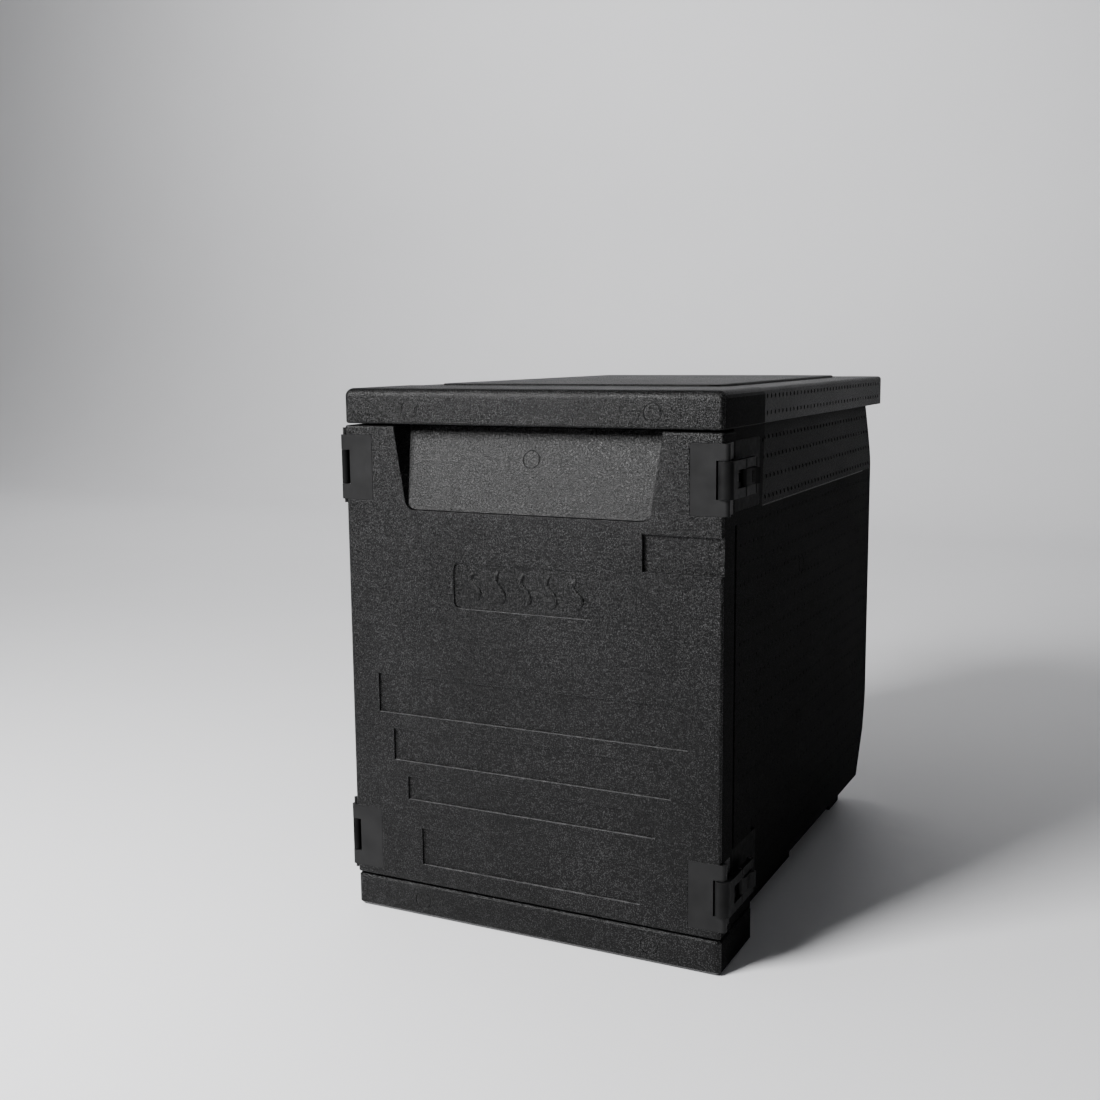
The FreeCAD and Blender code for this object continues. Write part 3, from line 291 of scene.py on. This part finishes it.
def new_object(name, bm):
    """A linked object from a bmesh, which is freed."""
    mesh = bpy.data.meshes.new(name)
    bm.to_mesh(mesh)
    bm.free()
    made = bpy.data.objects.new(name, mesh)
    bpy.context.collection.objects.link(made)
    return made


def welded(node):
    """A closed copy of one CAD node's mesh."""
    bm = bmesh.new()
    bm.from_mesh(frame["nodes"][node].data)
    bmesh.ops.remove_doubles(bm, verts=bm.verts, dist=1e-6)
    made = new_object(node + "_copy", bm)
    for name in ("custom_normal", "sharp_edge", "sharp_face"):
        found = made.data.attributes.get(name)
        if found:
            made.data.attributes.remove(found)
    return made


def combine(base, tool, operation):
    """Apply one boolean to a mesh object and delete the tool."""
    step = base.modifiers.new(operation, "BOOLEAN")
    step.operation = operation
    step.solver = "MANIFOLD"
    step.object = tool
    graph = bpy.context.evaluated_depsgraph_get()
    mesh = bpy.data.meshes.new_from_object(base.evaluated_get(graph))
    base.modifiers.clear()
    base.data = mesh
    bpy.data.objects.remove(tool)


def joined(name, nodes):
    """One closed mesh made of several CAD nodes that meet face to face."""
    base = welded(nodes[0])
    for node in nodes[1:]:
        combine(base, welded(node), "UNION")
    base.name = name
    return base


def surface_of(item):
    """A tree that rays can be cast at."""
    bm = bmesh.new()
    bm.from_mesh(item.data)
    tree = BVHTree.FromBMesh(bm)
    bm.free()
    return tree


def prism(bm, centre, axes, outline, low, high):
    """A closed prism whose outline lies on the first two axes, from low to high along the third."""
    across, along, up = axes
    rings = [
        [bm.verts.new(centre + across * u + along * v + up * height) for u, v in outline]
        for height in (low, high)
    ]
    count = len(outline)
    bm.faces.new(list(reversed(rings[0])))
    bm.faces.new(rings[1])
    for step in range(count):
        after = (step + 1) % count
        bm.faces.new((rings[0][step], rings[0][after], rings[1][after], rings[1][step]))


def circle(radius, count):
    """The corners of a regular outline on a circle."""
    turns = [2 * math.pi * (step + 0.5) / count for step in range(count)]
    return [(radius * math.cos(turn), radius * math.sin(turn)) for turn in turns]


def ring_groove(bm, centre, axes, radius, width, deep, proud, count=40):
    """A closed ring of square section that cuts a round groove."""
    across, along, up = axes
    corners = [
        (radius - width / 2, -deep),
        (radius + width / 2, -deep),
        (radius + width / 2, proud),
        (radius - width / 2, proud),
    ]
    loops = []
    for step in range(count):
        turn = 2 * math.pi * step / count
        out = across * math.cos(turn) + along * math.sin(turn)
        loops.append([bm.verts.new(centre + out * reach + up * height) for reach, height in corners])
    for step in range(count):
        here, there = loops[step], loops[(step + 1) % count]
        for side in range(4):
            after = (side + 1) % 4
            bm.faces.new((here[side], there[side], there[after], here[after]))


def frame_at(normal):
    """Three right-handed axes whose third is the normal and whose second leans up where it can."""
    guide = Z if abs(normal.z) < 0.7 else Y
    across = guide.cross(normal).normalized()
    return across, normal.cross(across), normal


def blocked(point, zones):
    """Whether a point lies in any of the zones."""
    return any(
        low.x <= point.x <= high.x and low.y <= point.y <= high.y and low.z <= point.z <= high.z
        for low, high in zones
    )


def vents(tree, starts, way, zones=(), radius=2.3 * MM, deep=0.5 * MM):
    """Cutters for round steam vents, wherever a ray meets a surface that is flat all round the vent."""
    bm = bmesh.new()
    outline = circle(radius, 10)
    for start in starts:
        spot, normal, _, _ = tree.ray_cast(start, way)
        if spot is None or normal.dot(way) > -0.8 or blocked(spot, zones):
            continue
        axes = frame_at(normal)
        reach = radius * 1.6
        rim = [axes[0] * reach, axes[0] * -reach, axes[1] * reach, axes[1] * -reach]
        near_by = [tree.ray_cast(start + step, way)[0] for step in rim]
        if any(hit is None or abs((hit - spot).dot(normal)) > 0.2 * MM for hit in near_by):
            continue
        prism(bm, spot, axes, outline, -deep, 1.0 * MM)
    return new_object("vents", bm)


def span(first, last, pitch):
    """Even steps from first to last, centred between them."""
    count = int((last - first) / pitch + 1e-6)
    lead = (last - first - count * pitch) / 2
    return [first + lead + pitch * step for step in range(count + 1)]


def zone_of(node, grow):
    """The box of a CAD node, grown on every side."""
    low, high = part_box(node)
    edge = Vector((grow, grow, grow))
    return low - edge, high + edge


def show(item, name, nodes, body, material=None):
    """Finish a piece: its name, shading, body and slot, and hide the CAD nodes it stands for."""
    item.name = name
    item.data.name = name
    item.data.shade_smooth()
    item.data.set_sharp_from_angle(angle=math.radians(SHARP_ANGLE))
    if material:
        item.data.materials.clear()
        item.data.materials.append(material)
    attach(item, body)
    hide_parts(*nodes)


def foam_finish(place, normal):
    """The foam's finish at one place: the first that fits, from the field ledges to the plain skin."""
    sideways = abs(normal.x) > 0.9
    beside = abs(place.x)
    # Painted highlight: the upward ledges of the label fields take the lighter ledge foam.
    if normal.z > 0.9 and place.y < FRONT + 6 * MM and 60 * MM < place.z < LEDGE_TOP:
        return FOAM_LEDGE_HIGHLIGHT
    # Painted highlight: the lip along each grip's foot takes the lighter, glossier crown foam so that it
    # shows as a lit line.
    if abs(place.z - GRIP_FOOT) < 1.5 * MM and beside > WALL_HIGH.x - 0.5 * MM:
        return FOAM_TOP
    if normal.y < -0.3 and normal.z < 0.8 and place.y < FRONT_ZONE:
        return FOAM_FRONT
    if place.z > SLAB_FOOT and normal.z > -0.5 and not (sideways and place.y < BLOCK_REAR):
        return FOAM_TOP
    if place.z > GRIP_FOOT and normal.z > 0.08 and sideways:
        return FOAM_GRIP
    within = beside < CABIN_HALF + 0.5 * MM and FRONT_ZONE < place.y < CABIN_REAR
    if within and CABIN_FOOT < place.z < CABIN_TOP:
        return FOAM_INSIDE
    return FOAM_SIDE


def split_finish(item):
    """Give each face of a foam piece the finish of its place."""
    finishes = [FOAM_FRONT, FOAM_SIDE, FOAM_TOP, FOAM_GRIP, FOAM_INSIDE, FOAM_LEDGE_HIGHLIGHT]
    item.data.materials.clear()
    for finish in finishes:
        item.data.materials.append(finish)
    for face in item.data.polygons:
        face.material_index = finishes.index(foam_finish(face.center, face.normal))


# ---------------------------------------------------------------- the foam body


def side_vents(shell, tree):
    """Rows of vents in the slab's sides, the side grips and the walls, clear of the brackets."""
    fittings = []
    for level in LEVELS:
        fittings.append(zone_of(f"latch_bracket_{level}", 3 * MM))
        fittings.append(zone_of(f"hinge_bracket_{level}", 3 * MM))
    columns = span(WALL_LOW.y + 8 * MM, WALL_HIGH.y - 6 * MM, VENT_PITCH)
    slab_columns = span(-222 * MM, SLAB_REAR - 30 * MM, VENT_PITCH)
    reach = 0.4
    for side in (-1, 1):
        way = -X * side
        starts = [Vector((side * reach, y, z)) for y in columns for z in GRIP_VENT_ROWS]
        starts += [Vector((side * reach, y, z)) for y in slab_columns for z in SLAB_VENT_ROWS]
        combine(shell, vents(tree, starts, way, fittings, 2.9 * MM, 1.2 * MM), "DIFFERENCE")
        starts = [Vector((side * reach, y, z)) for y in columns for z in WALL_VENT_ROWS]
        combine(shell, vents(tree, starts, way, fittings), "DIFFERENCE")


def rear_vents(shell, tree):
    """Rows of vents over the rear of the walls and the slab."""
    columns = span(-205 * MM, 205 * MM, REAR_VENT_PITCH)
    rows = GRIP_VENT_ROWS + WALL_VENT_ROWS + SLAB_VENT_ROWS
    starts = [Vector((x, 0.6, z)) for x in columns for z in rows]
    combine(shell, vents(tree, starts, -Y), "DIFFERENCE")


def cabin_vents(shell, tree):
    """Vents in the cabin's rear wall, ceiling and floor."""
    columns = span(-180 * MM, 180 * MM, INNER_VENT_PITCH)
    starts = [Vector((x, 0.0, z)) for x in columns for z in WALL_VENT_ROWS[::2]]
    combine(shell, vents(tree, starts, Y), "DIFFERENCE")
    columns = span(-160 * MM, 160 * MM, INNER_VENT_PITCH)
    lengthwise = span(-290 * MM, 280 * MM, INNER_VENT_PITCH)
    starts = [Vector((x, y, 0.3)) for x in columns for y in lengthwise]
    combine(shell, vents(tree, starts, Z), "DIFFERENCE")
    combine(shell, vents(tree, starts, -Z), "DIFFERENCE")


def grip_lips():
    """A fine rounded lip along the foot of each side grip."""
    bm = bmesh.new()
    for side in (-1, 1):
        root = Vector((side * (WALL_HIGH.x - 0.6 * MM), 0.0, GRIP_FOOT))
        prism(bm, root, (X, Z, -Y), circle(1.0 * MM, 12), -GRIP_END, -GRIP_START)
    return new_object("lips", bm)


def injector_mark(bm, tree, start, way):
    """The round mark of one bead injector where a ray meets the foam."""
    spot, normal, _, _ = tree.ray_cast(start, way)
    ring_groove(bm, spot, frame_at(normal), 11 * MM, 1.3 * MM, 0.7 * MM, 1.0 * MM)


def body_marks(tree):
    """Injector marks on the slab's nose, the foot, the sides, the rear and the top."""
    bm = bmesh.new()
    heights = (235 * MM, 445 * MM)
    spots = [(Vector((x, -FAR, 661 * MM)), Y) for x in (-157 * MM, 169 * MM)]
    spots += [(Vector((x, -FAR, 23 * MM)), Y) for x in (-153 * MM, 165 * MM)]
    for side in (-1, 1):
        spots += [(Vector((side * FAR, y, z)), -X * side) for y in (-60 * MM, 240 * MM) for z in heights]
    spots += [(Vector((x, FAR, z)), -Y) for x in (-120 * MM, 120 * MM) for z in heights]
    spots += [(Vector((x, y, FAR)), -Z) for x in (-120 * MM, 120 * MM) for y in (-120 * MM, 200 * MM)]
    for start, way in spots:
        injector_mark(bm, tree, start, way)
    return new_object("marks", bm)


def body_piece():
    """The carrier's one-piece foam body with its steam vents, injector marks and grip lips."""
    shell = joined("foam_body", SHELL)
    tree = surface_of(shell)
    side_vents(shell, tree)
    rear_vents(shell, tree)
    cabin_vents(shell, tree)
    combine(shell, body_marks(tree), "DIFFERENCE")
    combine(shell, grip_lips(), "UNION")
    split_finish(shell)
    show(shell, "foam_body", SHELL, "carrier")


# ---------------------------------------------------------------- the foam door


def swept(bm, path, half, rise, sides=8):
    """A rounded ribbon along a path, standing on a face that looks to the front."""
    loops = []
    for step, point in enumerate(path):
        before = path[max(step - 1, 0)]
        after = path[min(step + 1, len(path) - 1)]
        way = (after - before).normalized()
        across = way.cross(-Y).normalized()
        end = min(step, len(path) - 1 - step)
        size = math.sqrt(min(1.0, (end + 0.35) / 3))
        loop = []
        for part in range(sides + 1):
            turn = math.pi * part / sides
            out = across * (math.cos(turn) * half * size) - Y * (math.sin(turn) * rise * size)
            loop.append(bm.verts.new(point + out))
        root = 1.0 * MM
        loop.append(bm.verts.new(point - across * half * size + Y * root))
        loop.append(bm.verts.new(point + across * half * size + Y * root))
        loops.append(loop)
    count = len(loops[0])
    for here, there in zip(loops, loops[1:]):
        for part in range(count):
            after = (part + 1) % count
            bm.faces.new((here[part], here[after], there[after], there[part]))
    bm.faces.new(list(reversed(loops[0])))
    bm.faces.new(loops[-1])
    bmesh.ops.recalc_face_normals(bm, faces=bm.faces)


def steam_lines(floor_y):
    """Five generic curls of rising steam for the badge field."""
    bm = bmesh.new()
    steps = 18
    for x, tall in ((-70, 34), (-35, 40), (0, 40), (35, 40), (70, 34)):
        path = []
        for step in range(steps + 1):
            share = step / steps
            sway = 6.0 * MM * math.sin(2 * math.pi * share)
            height = BADGE_MIDDLE + tall * MM * (share - 0.5)
            path.append(Vector((x * MM + sway, floor_y, height)))
        swept(bm, path, 4.6 * MM, 1.8 * MM)
    return new_object("steam", bm)


def seal_bead(low, high, y, radius):
    """A round sealing bead along the sides of the door's plug, half sunk in them."""
    bm = bmesh.new()
    corner = 6 * MM
    corner_steps = 6
    sides = 12
    centres = [
        (high.x - corner, high.z - corner),
        (low.x + corner, high.z - corner),
        (low.x + corner, low.z + corner),
        (high.x - corner, low.z + corner),
    ]
    loops = []
    for quarter, (x, z) in enumerate(centres):
        for step in range(corner_steps + 1):
            turn = math.pi / 2 * (quarter + step / corner_steps)
            out = Vector((math.cos(turn), 0.0, math.sin(turn)))
            point = Vector((x, y, z)) + out * corner
            ring = []
            for part in range(sides):
                angle = 2 * math.pi * part / sides
                edge = point + out * radius * math.cos(angle) + Y * radius * math.sin(angle)
                ring.append(bm.verts.new(edge))
            loops.append(ring)
    for here, there in zip(loops, loops[1:] + loops[:1]):
        for part in range(sides):
            after = (part + 1) % sides
            bm.faces.new((here[part], there[part], there[after], here[after]))
    bmesh.ops.recalc_face_normals(bm, faces=bm.faces)
    return new_object("bead", bm)


def pips(tree):
    """Two round pips in the pull tab's recess."""
    bm = bmesh.new()
    for z in (491 * MM, 511.5 * MM):
        spot, normal, _, _ = tree.ray_cast(Vector((247 * MM, -FAR, z)), Y)
        prism(bm, spot, frame_at(normal), circle(2.2 * MM, 16), -1.0 * MM, 1.4 * MM)
    return new_object("pips", bm)


def plug_vents(tree):
    """Vents over the rear face of the door's plug."""
    columns = span(-190 * MM, 190 * MM, INNER_VENT_PITCH)
    rows = span(90 * MM, 600 * MM, INNER_VENT_PITCH)
    starts = [Vector((x, 0.2, z)) for x in columns for z in rows]
    return vents(tree, starts, -Y)


def pull_mark(tree):
    """The injector mark in the floor of the wide finger recess."""
    bm = bmesh.new()
    injector_mark(bm, tree, Vector((4 * MM, -FAR, 602 * MM)), Y)
    return new_object("marks", bm)


def door_piece():
    """The foam door with its badge, pips, seal bead, injector mark and rear vents."""
    door = joined("foam_door", ["door_panel"])
    tree = surface_of(door)
    badge, _, _, _ = tree.ray_cast(Vector((0.0, -FAR, BADGE_MIDDLE)), Y)
    combine(door, steam_lines(badge.y), "UNION")
    combine(door, pips(tree), "UNION")
    plug_half = CABIN_HALF - 4 * MM
    plug_low = Vector((-plug_half, 0.0, 66 * MM))
    plug_high = Vector((plug_half, 0.0, 620 * MM))
    combine(door, seal_bead(plug_low, plug_high, -331 * MM, 1.8 * MM), "UNION")
    combine(door, plug_vents(tree), "DIFFERENCE")
    combine(door, pull_mark(tree), "DIFFERENCE")
    split_finish(door)
    show(door, "foam_door", ["door_panel"], "door")


# ---------------------------------------------------------------- fittings


def islands_of(item):
    """The corner points of each separate closed part of a mesh."""
    bm = bmesh.new()
    bm.from_mesh(item.data)
    islands = []
    left = set(bm.verts)
    for first in bm.verts:
        if first not in left:
            continue
        left.remove(first)
        island = [first]
        for vert in island:
            near = [edge.other_vert(vert) for edge in vert.link_edges]
            fresh = [other for other in near if other in left]
            left.difference_update(fresh)
            island.extend(fresh)
        islands.append([vert.co.copy() for vert in island])
    bm.free()
    return islands


def head_of(points, axis):
    """The place along the axis of a screw's wide end, and the direction that it looks in."""
    ends = sorted(points, key=lambda point: point.dot(axis))
    widths = []
    for end in (ends[0], ends[-1]):
        level = [point for point in points if abs((point - end).dot(axis)) < 1e-5]
        widths.append(max((point - end).length for point in level))
    if widths[0] > widths[1]:
        return ends[0].dot(axis), -axis
    return ends[-1].dot(axis), axis


def lobed_outline():
    """A six-lobed socket's outline."""
    turns = [2 * math.pi * step / 24 for step in range(24)]
    reaches = [(2.0 + 0.45 * math.cos(6 * turn)) * MM for turn in turns]
    return [(reach * math.cos(turn), reach * math.sin(turn)) for turn, reach in zip(turns, reaches)]


def screws_piece(node, axis, body):
    """Screws with a six-lobed socket in each head."""
    item = joined(node + "_socketed", [node])
    bm = bmesh.new()
    lobes = lobed_outline()
    for points in islands_of(item):
        top, outward = head_of(points, axis)
        centre = sum(points, Vector()) / len(points)
        centre += axis * (top - centre.dot(axis))
        prism(bm, centre, frame_at(outward), lobes, -1.6 * MM, 1.0 * MM)
    combine(item, new_object("sockets", bm), "DIFFERENCE")
    show(item, node + "_socketed", [node], body, STEEL)


def lever_piece(level):
    """A finger lever with three grip ribs across its tab."""
    node = f"latch_lever_{level}"
    item = joined(node + "_ribbed", [node])
    low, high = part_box(node)
    tree = surface_of(item)
    thin = 0.9 * MM
    tall = (high.z - low.z) / 2 - 2.5 * MM
    outline = [(-thin, -tall), (thin, -tall), (thin, tall), (-thin, tall)]
    bm = bmesh.new()
    for step in range(3):
        y = high.y - (10 + 3.4 * step) * MM
        spot, _, _, _ = tree.ray_cast(Vector((0.4, y, (low.z + high.z) / 2)), -X)
        prism(bm, spot, (Y, Z, X), outline, -0.6 * MM, 0.7 * MM)
    combine(item, new_object("ribs", bm), "UNION")
    show(item, node + "_ribbed", [node], f"lever_{level}", LATCH_NYLON)


body_piece()
door_piece()
screws_piece("door_screws_hinge", Y, "door")
screws_piece("door_screws_latch", Y, "door")
screws_piece("wall_screws_hinge", X, "carrier")
screws_piece("wall_screws_latch", X, "carrier")
for level in LEVELS:
    lever_piece(level)


# ---------------------------------------------------------------- room, light and camera


def studio_floor():
    """A pale floor that curves up into a backdrop far behind the carrier."""
    bm = bmesh.new()
    half = 9.0
    bend = 3.4
    radius = 1.5
    height = 6.0
    steps = 16
    profile = [(-half, 0.0), (bend, 0.0)]
    for step in range(1, steps + 1):
        angle = math.pi / 2 * step / steps
        profile.append((bend + radius * math.sin(angle), radius - radius * math.cos(angle)))
    profile.append((bend + radius, height))
    rows = [[bm.verts.new((x, y, z)) for y, z in profile] for x in (-half, half)]
    for left, right in zip(zip(rows[0], rows[0][1:]), zip(rows[1], rows[1][1:])):
        bm.faces.new((left[0], right[0], right[1], left[1]))
    floor = new_object("studio_floor", bm)
    floor.data.shade_smooth()
    s = Shader("studio_floor")
    tone = s.mix(s.noise(3.0, 3.0), grey(0.79), grey(0.82))
    flat = s.node("NewGeometry").outputs["Normal"]
    rough = s.spread(s.noise(40.0, 3.0), 0.3, 0.7, 0.50, 0.60)
    floor.data.materials.append(s.finish(tone, rough, s.bump(s.noise(300.0), 0.05 * MM, flat)))


def soft_light(name, place, aim, size, power):
    lamp = bpy.data.lights.new(name, "AREA")
    lamp.shape = "RECTANGLE"
    lamp.size, lamp.size_y = size
    lamp.energy = power
    holder = bpy.data.objects.new(name, lamp)
    bpy.context.collection.objects.link(holder)
    holder.location = place
    holder.rotation_euler = (Vector(aim) - Vector(place)).to_track_quat("-Z", "Y").to_euler()


def lights():
    """A soft source to the front left, a faint wide one above, and a wash over the backdrop."""
    centre = (0.0, -0.2, 0.45)
    soft_light("front_left", (-1.25, -2.55, 2.0), centre, (1.2, 1.2), 300.0)
    soft_light("overhead", (-1.2, -0.2, 3.0), (-0.3, 0.0, 0.0), (2.4, 2.4), 16.0)
    soft_light("backdrop_wash", (-2.6, 2.2, 3.4), (-2.6, 4.7, 1.0), (4.6, 1.0), 106.0)
    world = bpy.data.worlds.new("studio_air")
    world.use_nodes = True
    background = world.node_tree.nodes["Background"]
    background.inputs["Color"].default_value = (0.95, 0.97, 1.0, 1.0)
    background.inputs["Strength"].default_value = 0.06
    bpy.context.scene.world = world


def camera():
    """The view from the front right, a little above the carrier's top."""
    yaw, pitch, roll = math.radians(-26.19), math.radians(8.09), math.radians(-0.49)
    ahead = Vector((math.sin(yaw) * math.cos(pitch), math.cos(yaw) * math.cos(pitch), -math.sin(pitch)))
    level = Vector((math.cos(yaw), -math.sin(yaw), 0.0))
    over = level.cross(ahead)
    right = level * math.cos(roll) + over * math.sin(roll)
    up = over * math.cos(roll) - level * math.sin(roll)
    data = bpy.data.cameras.new("camera")
    data.sensor_width = 36.0
    data.lens = 44.02
    data.shift_x = -0.0127
    data.shift_y = -0.0091
    data.clip_start = 0.05
    holder = bpy.data.objects.new("camera", data)
    bpy.context.collection.objects.link(holder)
    turn = Matrix((right, up, -ahead)).transposed().to_4x4()
    holder.matrix_world = Matrix.Translation((0.753, -1.803, 0.734)) @ turn
    bpy.context.scene.camera = holder


studio_floor()
lights()
camera()
